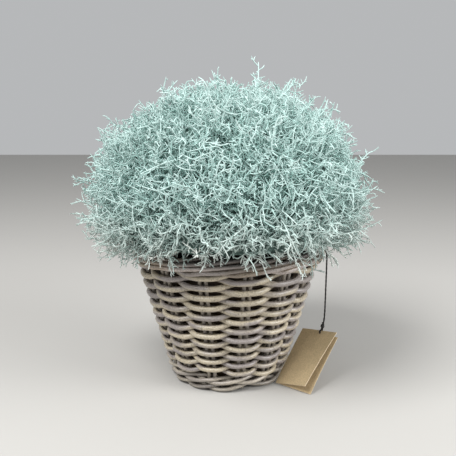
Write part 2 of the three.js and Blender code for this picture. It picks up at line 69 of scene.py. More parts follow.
# String
# A dark waxed cotton string of two twisted plies, tied behind the border on the right. It hangs
# free beside the basket, is knotted at the card's edge and goes through the hole in the card.
STRING_THICKNESS = 0.0024
STRING_SIDES = 14
PLY_TWIST = 0.012
PLY_LOBES = 0.08
CARD_HOLE = Vector((0.127311, -0.031242, 0.06653))
CARD_FACING = Vector((-0.5374, -0.50147, 0.67804))
CARD_UP = Vector((0.472, 0.486, 0.734))
STRING_ROUTE = [Vector(point) for point in (
    (0.1297, -0.0330, 0.1849),
    (0.1316, -0.0334, 0.1837),
    (0.1327, -0.0337, 0.1809),
    (0.1333, -0.0338, 0.1768),
    (0.1335, -0.0338, 0.1720),
    (0.1335, -0.0338, 0.1650),
    (0.1335, -0.0338, 0.1550),
    (0.1334, -0.0338, 0.1450),
    (0.1333, -0.0338, 0.1350),
    (0.1332, -0.0338, 0.1250),
    (0.1331, -0.0338, 0.1150),
    (0.1330, -0.0338, 0.1050),
    (0.1328, -0.0337, 0.0960),
    (0.1324, -0.0336, 0.0885),
    (0.1316, -0.0335, 0.0825),
    (0.1304, -0.0333, 0.0773),
    (0.1289, -0.0330, 0.0726),
    CARD_HOLE + 0.0019 * CARD_FACING + Vector((0.0004, 0, 0.0008)),
    CARD_HOLE + 0.0002 * CARD_FACING,
)]


def linear(hex_colour):
    """The colour of an sRGB hex value as Blender's linear RGBA."""
    levels = [int(hex_colour[i:i + 2], 16) / 255 for i in (1, 3, 5)]
    return [v / 12.92 if v <= 0.04045 else ((v + 0.055) / 1.055) ** 2.4 for v in levels] + [1]


def plug(tree, node, links):
    """Gives inputs of a node a value, or another node's output."""
    for socket, value in links.items():
        if isinstance(value, bpy.types.NodeSocket):
            tree.links.new(value, node.inputs[socket])
        else:
            node.inputs[socket].default_value = value


def add_node(tree, kind, links=None, **settings):
    """Adds a node with its settings and what its inputs get."""
    made = tree.nodes.new(kind)
    for name, value in settings.items():
        setattr(made, name, value)
    plug(tree, made, links or {})
    return made


def worked(tree, operation, first, second):
    """The result of a sum on two values."""
    return add_node(tree, "ShaderNodeMath", {0: first, 1: second}, operation=operation).outputs[0]


def mapped(tree, value, span=(0, 1), onto=(0, 1), **settings):
    """A value mapped from one range onto another, and held within it."""
    return add_node(tree, "ShaderNodeMapRange", {"Value": value, "From Min": span[0],
                    "From Max": span[1], "To Min": onto[0], "To Max": onto[1]}, **settings).outputs[0]


def scaled(tree, vector, factor):
    return add_node(tree, "ShaderNodeVectorMath", {0: vector, "Scale": factor},
                    operation="SCALE").outputs[0]


def mixed(tree, share, first, second):
    """A colour between two, at a share of the way."""
    return add_node(tree, "ShaderNodeMix", {"Factor": share, "A": first, "B": second},
                    data_type="RGBA").outputs[2]


def cloudy(tree, place, scale, detail, roughness=0.5):
    """Noise in space, mostly between 0.3 and 0.7."""
    return add_node(tree, "ShaderNodeTexNoise", {"Vector": place, "Scale": scale, "Detail": detail,
                    "Roughness": roughness}).outputs["Fac"]


def relief(tree, height, depth, strength=1.0):
    """Fine bumps for a shader's normal."""
    return add_node(tree, "ShaderNodeBump", {"Height": height, "Strength": strength,
                    "Distance": depth}).outputs[0]


def new_finish(name):
    """An empty material with its tree and its Principled shader."""
    finish = bpy.data.materials.new(name)
    finish.use_nodes = True
    return finish, finish.node_tree, finish.node_tree.nodes["Principled BSDF"]


def mesh_piece(name, vertices, edges, faces):
    mesh = bpy.data.meshes.new(name)
    mesh.from_pydata(vertices, edges, faces)
    return placed(name, mesh)


def new_tree(name, inputs, result):
    """An empty tree of geometry nodes, with its inputs' names and kinds and the name of what it
    makes. Also returns the inputs, for its nodes to read."""
    tree = bpy.data.node_groups.new(name, "GeometryNodeTree")
    for label, kind in inputs.items():
        tree.interface.new_socket(label, in_out="INPUT", socket_type="NodeSocket" + kind)
    tree.interface.new_socket(result, in_out="OUTPUT", socket_type="NodeSocketGeometry")
    return tree, add_node(tree, "NodeGroupInput").outputs


def smooth_path(tree, path, step):
    """A smooth curve through a path's points, in even steps."""
    corners = add_node(tree, "GeometryNodeMeshToCurve", {"Mesh": path})
    smooth = add_node(tree, "GeometryNodeCurveSplineType", {"Curve": corners.outputs[0]},
                      spline_type="CATMULL_ROM")
    return add_node(tree, "GeometryNodeResampleCurve", {"Curve": smooth.outputs[0], "Length": step},
                    mode="LENGTH").outputs[0]


def close_tree(tree, made, finish, result):
    """Ends a tree: what it made turns real and gets its finish."""
    real = add_node(tree, "GeometryNodeRealizeInstances", {0: made.outputs[0]})
    dyed = add_node(tree, "GeometryNodeSetMaterial", {0: real.outputs[0], "Material": finish})
    add_node(tree, "NodeGroupOutput", {result: dyed.outputs[0]})
    return tree


def ply_tree():
    """Sweeps a two-lobed section along a path and twists it as it goes."""
    tree, given = new_tree("twisted plies", {"Path": "Geometry", "Section": "Object",
                           "Twist length": "Float", "Step": "Float", "Finish": "Material"}, "String")
    even = smooth_path(tree, given["Path"], given["Step"])
    along = add_node(tree, "GeometryNodeSplineParameter").outputs["Length"]
    angle = worked(tree, "MULTIPLY", worked(tree, "DIVIDE", along, given["Twist length"]), math.tau)
    twisted = add_node(tree, "GeometryNodeSetCurveTilt", {0: even, "Tilt": angle})
    marked = add_node(tree, "GeometryNodeStoreNamedAttribute",
                      {0: twisted.outputs[0], "Name": "along", "Value": along},
                      data_type="FLOAT", domain="POINT")
    section = add_node(tree, "GeometryNodeObjectInfo", {"Object": given["Section"]})
    outline = add_node(tree, "GeometryNodeMeshToCurve", {"Mesh": section.outputs["Geometry"]})
    swept = add_node(tree, "GeometryNodeCurveToMesh",
                     {"Curve": marked.outputs[0], "Profile Curve": outline.outputs[0], "Fill Caps": True})
    soft = add_node(tree, "GeometryNodeSetShadeSmooth", {0: swept.outputs[0]})
    return close_tree(tree, soft, given["Finish"], "String")


def grown(piece, tree, **values):
    """Runs a node tree on a piece's own mesh and returns the result as a plain mesh piece."""
    sockets = {item.name: item.identifier for item in tree.interface.items_tree
               if item.in_out == "INPUT"}
    modifier = piece.modifiers.new("tree", "NODES")
    modifier.node_group = tree
    for name, value in values.items():
        modifier[sockets[name.replace("_", " ")]] = value
    shaped = piece.evaluated_get(bpy.context.evaluated_depsgraph_get())
    mesh = bpy.data.meshes.new_from_object(shaped)
    piece.modifiers.remove(modifier)
    piece.data = mesh
    return piece


def waxed_cotton():
    """Waxed cotton: near black with a soft gloss, and the plies' fibres run round it on a slant."""
    finish, tree, shader = new_finish("waxed cotton")
    along = add_node(tree, "ShaderNodeAttribute", attribute_name="along")
    fibres = add_node(tree, "ShaderNodeTexNoise",
                      {"W": along.outputs["Fac"], "Scale": 900, "Detail": 3}, noise_dimensions="1D")
    colour = mixed(tree, fibres.outputs["Fac"], linear("#0b0a0a"), linear("#22201e"))
    plug(tree, shader, {"Base Color": colour, "Roughness": 0.62})
    return finish


def lobed_section():
    ring = []
    for i in range(STRING_SIDES):
        angle = math.tau * i / STRING_SIDES
        reach = STRING_THICKNESS / 2 * (1 - PLY_LOBES + PLY_LOBES * math.cos(2 * angle))
        ring.append((reach * math.cos(angle), reach * math.sin(angle), 0))
    edges = [(i, (i + 1) % STRING_SIDES) for i in range(STRING_SIDES)]
    return mesh_piece("string_section", ring, edges, [])


def path_piece(name, points):
    return mesh_piece(name, points, [(i, i + 1) for i in range(len(points) - 1)], [])


# The knot at the card's edge: the loop's other strand comes up behind the card, goes twice round the
# string and ends in a short cut end.
KNOT = STRING_ROUTE[15]
KNOT_TURNS = 2
KNOT_POINTS = 8
KNOT_RISE = 0.00022
KNOT_REACH = 0.72 * STRING_THICKNESS
LOOP_BEHIND = ((-0.0006, 0.0003), (0.0004, 0.0016), (0.0022, 0.0020), (0.0050, 0.0018))

knot_axis = (STRING_ROUTE[14] - STRING_ROUTE[16]).normalized()
knot_side = knot_axis.cross(CARD_FACING).normalized()
knot_front = knot_side.cross(knot_axis)
knot_route = [CARD_HOLE + CARD_UP * up - CARD_FACING * back for up, back in LOOP_BEHIND]
for i in range(KNOT_TURNS * KNOT_POINTS + 1):
    turn = math.tau * i / KNOT_POINTS
    knot_route.append(KNOT + knot_axis * (KNOT_RISE * i - 0.0018)
                      + KNOT_REACH * (knot_side * math.sin(turn) - knot_front * math.cos(turn)))
knot_route += [knot_route[-1] - knot_side * 0.0016 + knot_axis * 0.0006,
               knot_route[-1] - knot_side * 0.0036 + knot_axis * 0.0018]

section = lobed_section()
PLY_TREE = ply_tree()
COTTON = waxed_cotton()
string = path_piece("tag_string", STRING_ROUTE)
grown(string, PLY_TREE, Section=section, Twist_length=PLY_TWIST, Step=0.0009, Finish=COTTON)
knot = path_piece("string_knot", knot_route)
grown(knot, PLY_TREE, Section=section, Twist_length=PLY_TWIST, Step=0.0004, Finish=COTTON)
bpy.data.objects.remove(section)
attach(knot, "root")
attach(string, "root")
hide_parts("string")


# Stakes
# 13 pairs of thin straight rattan rods that the wall is woven on. They lean out with the basket's
# flare and end at the base below and behind the border at the top, so only short bits show.
STAKE_PAIRS = 13
STAKE_ANGLE = math.tau / STAKE_PAIRS
FIRST_STAKE = math.radians(-78)
STAKES_APART = 0.008
STAKE_RADIUS = 0.0025
STAKE_HEIGHTS = (0.0032, 0.007, 0.012, 0.018, 0.026, 0.04, 0.08, 0.12, 0.16, 0.1868)
WALL_RADIUS = 0.0784
WALL_RADIUS_HEIGHT = 0.025
WALL_FLARE = 0.271
FOOT_CURVE = 5.6


def wall_radius(height):
    """The middle of the basket's wall: straight and flared above, rounded in at the foot."""
    above = height - WALL_RADIUS_HEIGHT
    straight = WALL_RADIUS + WALL_FLARE * above
    return straight if above >= 0 else straight - FOOT_CURVE * above * above


def wall_slope(height):
    return WALL_FLARE + 2 * FOOT_CURVE * max(WALL_RADIUS_HEIGHT - height, 0)


def around(radius, stakes, height):
    """A point on the basket, its angle counted in stake pairs from the first one."""
    angle = FIRST_STAKE + stakes * STAKE_ANGLE
    return Vector((radius * math.cos(angle), radius * math.sin(angle), height))


def off_wall(stakes, out, height):
    """A point at a distance out from the wall's middle, square to the wall."""
    lean = math.atan(wall_slope(height))
    return around(wall_radius(height) + out * math.cos(lean), stakes, height - out * math.sin(lean))


def paths_piece(name, paths, number, draw):
    """A piece of open paths for a tree. Each is its points and the values that they carry, and each
    gets a number of its own between 0 and 1, which its colour and its unevenness start from."""
    vertices, edges, carried = [], [], {}
    for points, values in paths:
        edges += [(len(vertices) + i, len(vertices) + i + 1) for i in range(len(points) - 1)]
        vertices += points
        for label, value in (*values.items(), (number, draw.random())):
            each = value if isinstance(value, list) else [value] * len(points)
            carried.setdefault(label, []).extend(each)
    piece = mesh_piece(name, vertices, edges, [])
    for label, values in carried.items():
        piece.data.attributes.new(label, "FLOAT", "POINT").data.foreach_set("value", values)
    return piece


def rod_tree():
    """Round rattan rods along paths: a little uneven, with a swelling at every joint ring. They
    carry the distance along the rod, the place round it and the rod's own number."""
    tree, given = new_tree("rattan rods", {"Paths": "Geometry", "Step": "Float", "Joint spacing": "Float",
                           "Waver": "Float", "Uneven": "Float", "Sides": "Int", "Finish": "Material"},
                           "Rods")
    even = smooth_path(tree, given["Paths"], given["Step"])
    rod = add_node(tree, "GeometryNodeInputNamedAttribute", {"Name": "rod"}, data_type="FLOAT")
    radius = add_node(tree, "GeometryNodeInputNamedAttribute", {"Name": "radius"}, data_type="FLOAT")
    measured = add_node(tree, "GeometryNodeSplineParameter")
    along = add_node(tree, "ShaderNodeMath", {0: rod.outputs[0], 1: 7.0, 2: measured.outputs["Length"]},
                     operation="MULTIPLY_ADD").outputs[0]
    marked = add_node(tree, "GeometryNodeStoreNamedAttribute", {0: even, "Name": "along", "Value": along},
                      data_type="FLOAT", domain="POINT")
    drift = add_node(tree, "ShaderNodeTexNoise", {"W": along, "Scale": 26, "Detail": 1},
                     noise_dimensions="1D")
    centred = add_node(tree, "ShaderNodeVectorMath", {0: drift.outputs["Color"], 1: (0.5, 0.5, 0.5)},
                       operation="SUBTRACT")
    shift = scaled(tree, centred.outputs[0], given["Waver"])
    moved = add_node(tree, "GeometryNodeSetPosition", {0: marked.outputs[0], "Offset": shift})
    to_joint = worked(tree, "PINGPONG", along, worked(tree, "MULTIPLY", given["Joint spacing"], 0.5))
    swell = mapped(tree, to_joint, (0, 0.0045), (1.07, 1), interpolation_type="SMOOTHSTEP")
    lumps = add_node(tree, "ShaderNodeTexNoise", {"W": along, "Scale": 70, "Detail": 2},
                     noise_dimensions="1D")
    thick = mapped(tree, lumps.outputs["Fac"], (0.3, 0.7), (1, given["Uneven"]))
    size = worked(tree, "MULTIPLY", worked(tree, "MULTIPLY", swell, thick), radius.outputs[0])
    circle = add_node(tree, "GeometryNodeCurvePrimitiveCircle",
                      {"Resolution": given["Sides"], "Radius": 1.0})
    place = add_node(tree, "GeometryNodeInputPosition")
    section = add_node(tree, "GeometryNodeStoreNamedAttribute",
                       {0: circle.outputs[0], "Name": "round", "Value": place.outputs[0]},
                       data_type="FLOAT_VECTOR", domain="POINT")
    swept = add_node(tree, "GeometryNodeCurveToMesh",
                     {"Curve": moved.outputs[0], "Profile Curve": section.outputs[0],
                      "Scale": size, "Fill Caps": True})
    soft = add_node(tree, "GeometryNodeSetShadeSmooth", {0: swept.outputs[0]})
    fold = add_node(tree, "GeometryNodeInputMeshEdgeAngle")
    sharp = add_node(tree, "FunctionNodeCompare", {0: fold.outputs[0], 1: 1.0}, operation="GREATER_THAN")
    ends = add_node(tree, "GeometryNodeSetShadeSmooth",
                    {0: soft.outputs[0], "Selection": sharp.outputs[0], "Shade Smooth": False},
                    domain="EDGE")
    return close_tree(tree, ends, given["Finish"], "Rods")


RATTAN_TREE = rod_tree()
JOINT_SPACING = 0.24


def rattan(name, pale, grey, worn, foot_darkening, shade_under_plant=1.0, uneven=0.13):
    """Grey-washed kubu rattan, scraped round and worn half glossy. Beige and mauve-grey stretches
    about 80 mm long drift along each rod, with long grain and dark specks about 2 mm long, and a
    thin dark ring at each joint. The fifth argument is how much darker the rods get towards the
    foot. The sixth is how dark the rods are painted just under the rim, a painted shade for the
    plant that hangs over them, and uneven is how much lighter or darker one rod is than the next."""
    finish, tree, shader = new_finish(name)
    along = add_node(tree, "ShaderNodeAttribute", attribute_name="along").outputs["Fac"]
    rod = add_node(tree, "ShaderNodeAttribute", attribute_name="rod").outputs["Fac"]
    skin = add_node(tree, "ShaderNodeAttribute", attribute_name="round")
    split = add_node(tree, "ShaderNodeSeparateXYZ", {0: skin.outputs["Vector"]})

    def stretched(rate):
        """The place on the rod, its length counted at a rate of its own, for a pattern with a grain."""
        return add_node(tree, "ShaderNodeCombineXYZ", {0: split.outputs[0], 1: split.outputs[1],
                        2: worked(tree, "MULTIPLY", along, rate)}).outputs[0]

    drift = cloudy(tree, stretched(46.667), 0.27, 2)
    mood = mapped(tree, drift, (0.42, 0.58), interpolation_type="SMOOTHSTEP")
    grain = cloudy(tree, stretched(90), 4.5, 4, 0.6)
    specks = cloudy(tree, stretched(320), 1.7, 5, 0.7)
    aged = mixed(tree, mapped(tree, specks, (0.52, 0.72)),
                 mixed(tree, mood, linear(pale), linear(grey)), linear(worn))
    streaks = mapped(tree, grain, (0.35, 0.65), (0.76, 1.16))
    to_joint = worked(tree, "PINGPONG", along, JOINT_SPACING / 2)
    ring = mapped(tree, to_joint, (0.0003, 0.0013), (0.72, 1))
    lightness = mapped(tree, rod, (0, 1), (1 - uneven, 1 + uneven))
    place = add_node(tree, "ShaderNodeTexCoord").outputs["Object"]
    height = add_node(tree, "ShaderNodeSeparateXYZ", {0: place}).outputs[2]
    # The rods get darker towards the foot, by the fifth argument.
    low = mapped(tree, height, (0, 0.02), (foot_darkening, 1), interpolation_type="SMOOTHSTEP")
    # Just under the rim the rods are painted darker: painted shade for the plant that hangs over them.
    high = mapped(tree, height, (0.179, 0.190), (1, shade_under_plant), interpolation_type="SMOOTHSTEP")
    shade = streaks
    for factor in (ring, lightness, low, high):
        shade = worked(tree, "MULTIPLY", shade, factor)
    plug(tree, shader, {"Base Color": scaled(tree, aged, shade), "Specular IOR Level": 0.8,
         "Roughness": mapped(tree, grain, (0, 1), (0.28, 0.5)),
         "Normal": relief(tree, grain, 0.0004, 0.35)})
    return finish


stake_names = [f"stake_{pair + 1:02d}_{side}" for pair in range(STAKE_PAIRS)
               for side in ("left", "right")]
stake_paths = []
for pair in range(STAKE_PAIRS):
    for shift in (-0.5, 0.5):
        points = []
        for height in STAKE_HEIGHTS:
            radius = wall_radius(height)
            points.append(around(radius, pair + shift * STAKES_APART / (radius * STAKE_ANGLE), height))
        stake_paths.append((points, {"radius": STAKE_RADIUS}))
stakes = paths_piece("stakes", stake_paths, "rod", random.Random(3))
grown(stakes, RATTAN_TREE, Step=0.004, Joint_spacing=JOINT_SPACING, Waver=0.0006, Uneven=1.05, Sides=10,
      Finish=rattan("stake rattan", "#9c9386", "#867f78", "#5f564b", 0.85))
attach(stakes, "root")
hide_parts(*stake_names)


# Foot wale
# Two rows of three rods at the foot. Each goes in turn before two stake pairs and behind one,
# over the other two, which locks the stakes where they leave the base.
WALE_RADIUS = 0.0025
WALE_FOOT = 0.0052
WALE_PITCH = 0.0049
WALE_ROWS = 2
POINTS_PER_STAKE = 6

wale_paths = []
for row in range(WALE_ROWS):
    foot = WALE_FOOT + 2 * WALE_PITCH * row
    depth = STAKE_RADIUS + WALE_RADIUS + 0.0002
    for strand in range(3):
        points = []
        for i in range(POINTS_PER_STAKE * (STAKE_PAIRS - 1) + 1):
            step = i / POINTS_PER_STAKE
            turn = math.tau * step / 3
            out = depth * (0.2 - 1.15 * math.cos(turn))
            rise = 0.5 - 0.55 * math.sin(turn)
            points.append(off_wall(strand + row + step, out, foot + WALE_PITCH * rise))
        wale_paths.append((points, {"radius": WALE_RADIUS}))
wale = paths_piece("foot_wale", wale_paths, "rod", random.Random(11))
grown(wale, RATTAN_TREE, Step=0.003, Joint_spacing=JOINT_SPACING, Waver=0.0012, Uneven=1.08, Sides=12,
      Finish=rattan("wale rattan", "#b3aa9b", "#948c84", "#625649", 0.7))
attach(wale, "root")
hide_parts(*[f"foot_wale_{row + 1}_rod_{rod + 1}" for row in range(WALE_ROWS) for rod in range(3)])


# Wall
# Randing: a single strand in front of one stake pair and behind the next, beaten down so that it
# hangs in a shallow curve before each pair. 13 is odd, so each round is the reverse of the last.
WEAVER_FOOT = 0.0248
WEAVER_TURNS = 22
WEAVER_PITCH = 0.00608
WEAVER_PITCH_GROWTH = 0.000028
WEAVER_COUNT = 5
WEAVER_THIN = 0.00295
WEAVER_THICK = 0.00355
WEAVER_SAG = 0.0011
CROSSINGS = WEAVER_TURNS * STAKE_PAIRS


def first_crossing(weaver):
    """Where a strand starts, counted in stake pairs from the bottom: always behind a pair."""
    return 2 * round(weaver * CROSSINGS / (2 * WEAVER_COUNT))


weaver_paths = []
for weaver in range(WEAVER_COUNT):
    draw = random.Random(40 + weaver)
    radius = WEAVER_THIN + (WEAVER_THICK - WEAVER_THIN) * weaver / (WEAVER_COUNT - 1)
    depth = STAKE_RADIUS + radius
    first = first_crossing(weaver)
    crossings = first_crossing(weaver + 1) - first
    sags = [WEAVER_SAG * (0.6 + 0.8 * draw.random()) for _ in range(crossings + 1)]
    points = []
    for i in range(POINTS_PER_STAKE * crossings + 1):
        step = i / POINTS_PER_STAKE
        stake = first + step
        turn = stake / STAKE_PAIRS
        wave = -math.cos(math.pi * stake)
        side = 1.6 * wave - 0.6 * wave ** 3
        dip = 0.85 * wave + 0.15 * wave ** 3
        height = WEAVER_FOOT + (WEAVER_PITCH + WEAVER_PITCH_GROWTH * turn) * turn
        points.append(off_wall(stake, depth * side, height - sags[round(step)] * dip))
    weaver_paths.append((points, {"radius": radius}))
wall = paths_piece("wall_weave", weaver_paths, "rod", random.Random(29))
grown(wall, RATTAN_TREE, Step=0.003, Joint_spacing=JOINT_SPACING, Waver=0.0014, Uneven=1.1, Sides=11,
      Finish=rattan("weave rattan", "#b8ad97", "#938b87", "#4a3e31", 1.0))
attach(wall, "root")
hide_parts(*[f"wall_weaver_{weaver + 1}" for weaver in range(WEAVER_COUNT)])


# Border
# 13 rods close the rim. Each comes out from behind a stake pair, rises slantwise outside the
# next three, right under the rod before it, and turns in over the rim. A course point is a place
# in stake pairs, a distance out, and a rise in steps of the border.
BORDER_ROD_RADIUS = 0.0028
BORDER_RADIUS = 0.1312
BORDER_FOOT = 0.1752
BORDER_STEP = 0.00615
BORDER_COURSE = [
    (0.42, -0.0080, 0.38),
    (0.62, -0.0063, -0.1),
    (0.85, 0, 0),
    (1.5, 0, 0.65),
    (2.15, 0, 1.3),
    (2.8, 0, 1.95),
    (3.45, 0, 2.6),
    (3.8, -0.0035, 2.9),
    (4.1, -0.0100, 3.05),
    (4.35, -0.0175, 2.95),
]

border_paths = []
draw = random.Random(6)
for pair in range(STAKE_PAIRS):
    points = [around(BORDER_RADIUS + out + 0.0011 * draw.random(), pair + at,
                     BORDER_FOOT + BORDER_STEP * (rise + 0.16 * (draw.random() - 0.5)))
              for at, out, rise in BORDER_COURSE]
    border_paths.append((points, {"radius": BORDER_ROD_RADIUS * (0.9 + 0.16 * draw.random())}))
border = paths_piece("border", border_paths, "rod", random.Random(5))
# Its rods are painted much darker just under the rim, a painted shade for the plant over them.
grown(border, RATTAN_TREE, Step=0.003, Joint_spacing=JOINT_SPACING, Waver=0.0018, Uneven=1.12, Sides=12,
      Finish=rattan("border rattan", "#8d7f6f", "#aaa09b", "#44382d", 1.0, 0.27, 0.34))
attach(border, "root")
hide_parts(*[f"border_rod_{pair + 1:02d}" for pair in range(STAKE_PAIRS)])


# Base
# A flat round bottom: bottom sticks that cross under the middle, and a thin rod woven over and under
# them in a spiral, out to the foot wale. It is seen only from below.
BASE_RADIUS = 0.0667
BASE_HEART = 0.0105
BASE_MIDDLE = 0.0031
BASE_STICKS = 13
BASE_STICK_RADIUS = 0.0016
BASE_STICK_REACH = 0.0655
BASE_ROD_RADIUS = 0.0014
BASE_PITCH = 0.0029

base_paths = []
for stick in range(BASE_STICKS):
    angle = math.pi * stick / BASE_STICKS
    way = Vector((math.cos(angle), math.sin(angle), 0)) * BASE_STICK_REACH
    middle = Vector((0, 0, BASE_MIDDLE + 0.0002 * (stick % 2)))
    base_paths.append(([middle - way, middle, middle + way], {"radius": BASE_STICK_RADIUS}))
spiral = []
turns = (BASE_RADIUS - BASE_HEART - 0.002) / BASE_PITCH
for i in range(int(turns * BASE_STICKS * 2) + 1):
    turn = i / (BASE_STICKS * 2)
    reach = BASE_HEART + BASE_PITCH * turn
    weave = math.cos(math.pi * (i + int(turn)))
    angle = math.tau * turn + 0.02
    spiral.append(Vector((reach * math.cos(angle), reach * math.sin(angle),
                          BASE_MIDDLE + 0.0015 * weave)))
base_paths.append((spiral, {"radius": BASE_ROD_RADIUS}))
base = paths_piece("woven_base", base_paths, "rod", random.Random(8))
grown(base, RATTAN_TREE, Step=0.004, Joint_spacing=JOINT_SPACING, Waver=0.0003, Uneven=1.03, Sides=7,
      Finish=rattan("base rattan", "#a99c86", "#948b80", "#6d6153", 0.9))
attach(base, "root")
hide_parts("base")


# Liner
# A thin cup of black polythene, dusty with peat, moulded to the inside of the weave. It keeps the
# soil in, and shows as the dark brown between the strands and as a thin edge round the soil.
LINER_INSET = 0.0104
LINER_WALL = 0.0012
LINER_FLOOR = 0.0069
LINER_TOP = 0.177
LINER_SEGMENTS = 78


def smooth_piece(name, made):
    """A smooth piece of a mesh in the making, whose faces are turned outwards."""
    bmesh.ops.recalc_face_normals(made, faces=made.faces)
    mesh = bpy.data.meshes.new(name)
    made.to_mesh(mesh)
    made.free()
    mesh.shade_smooth()
    return placed(name, mesh)


def turned_piece(name, profile, segments):
    """A closed profile of (radius, height) turned round the basket's axis, ends on the axis."""
    made = bmesh.new()
    rings = []
    for radius, height in profile:
        angles = [math.tau * i / segments for i in range(segments if radius else 1)]
        rings.append([made.verts.new((radius * math.cos(a), radius * math.sin(a), height))
                      for a in angles])
    for low, high in zip(rings, rings[1:]):
        for i in range(segments):
            j = (i + 1) % segments
            corners = [low[i % len(low)], low[j % len(low)], high[j % len(high)], high[i % len(high)]]
            made.faces.new([v for k, v in enumerate(corners) if v not in corners[:k]])
    return smooth_piece(name, made)


def polythene():
    """Black polythene, vacuum formed: half glossy, with a faint waver from the mould, and a film of
    peat dust that makes it a dark brown."""
    finish, tree, shader = new_finish("black polythene")
    waver = cloudy(tree, add_node(tree, "ShaderNodeTexCoord").outputs["Object"], 90, 2)
    colour = mixed(tree, waver, linear("#413225"), linear("#584732"))
    plug(tree, shader, {"Base Color": colour, "Roughness": 0.55,
         "Normal": relief(tree, waver, 0.001, 0.3)})
    return finish


cup_heights = [LINER_FLOOR, 0.011, 0.015, 0.020, 0.025, 0.06, 0.12, LINER_TOP]
outside = [(wall_radius(h) - LINER_INSET, h) for h in cup_heights]
inside = [(radius - LINER_WALL, h) for radius, h in outside]
inside[0] = (inside[0][0], LINER_FLOOR + LINER_WALL)
liner = turned_piece("pot_liner", [(0, LINER_FLOOR), *outside, *reversed(inside),
                                   (0, LINER_FLOOR + LINER_WALL)], LINER_SEGMENTS)
liner.data.materials.append(polythene())
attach(liner, "root")
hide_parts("liner")


# Soil
# Dark peat compost that fills the liner to just under its edge, lumpy, with loose crumbs and a few
# pale grains on top. The plant's stem stands in it.
SOIL_TOP = 0.171
SOIL_SEGMENTS = 96
SOIL_RINGS = 26
CRUMBS = 900
FULL_TURN = 6.3


def compost():
    """Peat compost: very dark brown, matt and rough, with paler fibres and grains."""
    finish, tree, shader = new_finish("peat compost")
    clods = cloudy(tree, add_node(tree, "ShaderNodeTexCoord").outputs["Object"], 220, 6, 0.7)
    colour = add_node(tree, "ShaderNodeValToRGB", {"Fac": clods})
    ramp = colour.color_ramp.elements
    ramp[0].position, ramp[0].color = 0.35, linear("#1d1612")
    ramp[1].position, ramp[1].color = 0.75, linear("#5a4736")
    plug(tree, shader, {"Base Color": colour.outputs["Color"], "Roughness": 0.95,
         "Normal": relief(tree, clods, 0.002, 0.8)})
    return finish


def soil_height(x, y):
    broad = noise.noise(Vector((x, y, 0)) * 28)
    fine = noise.noise(Vector((x, y, 5)) * 120)
    return SOIL_TOP - 0.0012 + 0.0016 * broad + 0.0008 * fine


soil_side = [(wall_radius(h) - LINER_INSET - LINER_WALL - 0.0007, h)
             for h in (LINER_FLOOR + LINER_WALL + 0.0004, 0.015, 0.025, 0.09, SOIL_TOP - 0.004)]
soil_rings = [(soil_side[-1][0] * (1 - i / SOIL_RINGS), SOIL_TOP) for i in range(1, SOIL_RINGS)]
soil = turned_piece("compost", [(0, soil_side[0][1]), *soil_side, *soil_rings, (0, SOIL_TOP)],
                    SOIL_SEGMENTS)
for vertex in soil.data.vertices:
    if vertex.co.z > SOIL_TOP - 0.0001:
        vertex.co.z = soil_height(vertex.co.x, vertex.co.y)
crumbs = bmesh.new()
crumbs.from_mesh(soil.data)
draw = random.Random(17)
for _ in range(CRUMBS):
    reach = soil_side[-1][0] * 0.96 * math.sqrt(draw.random())
    angle = math.tau * draw.random()
    x, y = reach * math.cos(angle), reach * math.sin(angle)
    size = 0.0008 + 0.0016 * draw.random() ** 2
    turn = FULL_TURN * draw.random()
    axis = Vector((draw.random(), draw.random(), 1)).normalized()
    squash = Matrix.Diagonal((1, 0.6 + 0.4 * draw.random(), 0.5 + 0.4 * draw.random(), 1))
    bmesh.ops.create_icosphere(crumbs, subdivisions=1, radius=size, matrix=Matrix.Translation(
        (x, y, soil_height(x, y) + 0.3 * size)) @ Matrix.Rotation(turn, 4, axis) @ squash)
crumbs.to_mesh(soil.data)
crumbs.free()
soil.data.materials.append(compost())
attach(soil, "root")
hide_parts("soil")


# Bush
# One plant: a woody stem that branches low down into a dense ball of twigs. Every outer twig is a
# felted silver wire, 1.5 to 2 mm thick, that curves outwards and forks at wide angles again and
# again into short blunt tips. The twigs are grown here as paths and swept to their thickness.
BUSH_MIDDLE = Vector((0.002, 0, 0.215))
BUSH_RADIUS = 0.188
BUSH_RISE = 0.192
BUSH_DROP = 0.065
BUSH_SQUARENESS = 2.4
RIM_CLEAR_RADIUS = 0.1395
RIM_CLEAR_HEIGHT = 0.2025
ABOVE_RIM = RIM_CLEAR_HEIGHT + 0.004
STRING_ANGLE = math.atan2(-0.0338, 0.1335)
STRING_CLEAR_ANGLE = 0.035
STRING_CLEAR_RADIUS = 0.1405
TWIG_RADIUS = 0.00099
TWIG_STEP = 0.0056
NUB_STEP = 0.0042
BRANCH_LEAN = 55
LEAN_SPREAD = 15
GOLDEN_ANGLE = math.pi * (3 - math.sqrt(5))
UP = Vector((0, 0, 1))


def outline_reach(way):
    """How far the dome's outline lies from its middle, in a direction."""
    flat = math.hypot(way.x, way.y) / BUSH_RADIUS
    rise = way.z / BUSH_RISE if way.z >= 0 else -way.z / BUSH_DROP
    return (flat ** BUSH_SQUARENESS + rise ** BUSH_SQUARENESS) ** (-1 / BUSH_SQUARENESS)


def toward(turn, sine):
    flat = math.sqrt(1 - sine * sine)
    return Vector((flat * math.cos(turn), flat * math.sin(turn), sine))


def clear_of_basket(point):
    """Twigs beside the rim and the string lie just outside them."""
    if point.z > RIM_CLEAR_HEIGHT:
        return point
    beside = abs(math.atan2(point.y, point.x) - STRING_ANGLE) < STRING_CLEAR_ANGLE
    least = STRING_CLEAR_RADIUS if beside else RIM_CLEAR_RADIUS
    reach = math.hypot(point.x, point.y)
    if reach >= least:
        return point
    return Vector((point.x * least / reach, point.y * least / reach, point.z))


def place_on(points, share):
    """The place and the heading at a share of a twig's length."""
    place = share * (len(points) - 1)
    index = min(int(place), len(points) - 2)
    low, high = points[index], points[index + 1]
    return low.lerp(high, place - index), (high - low).normalized()


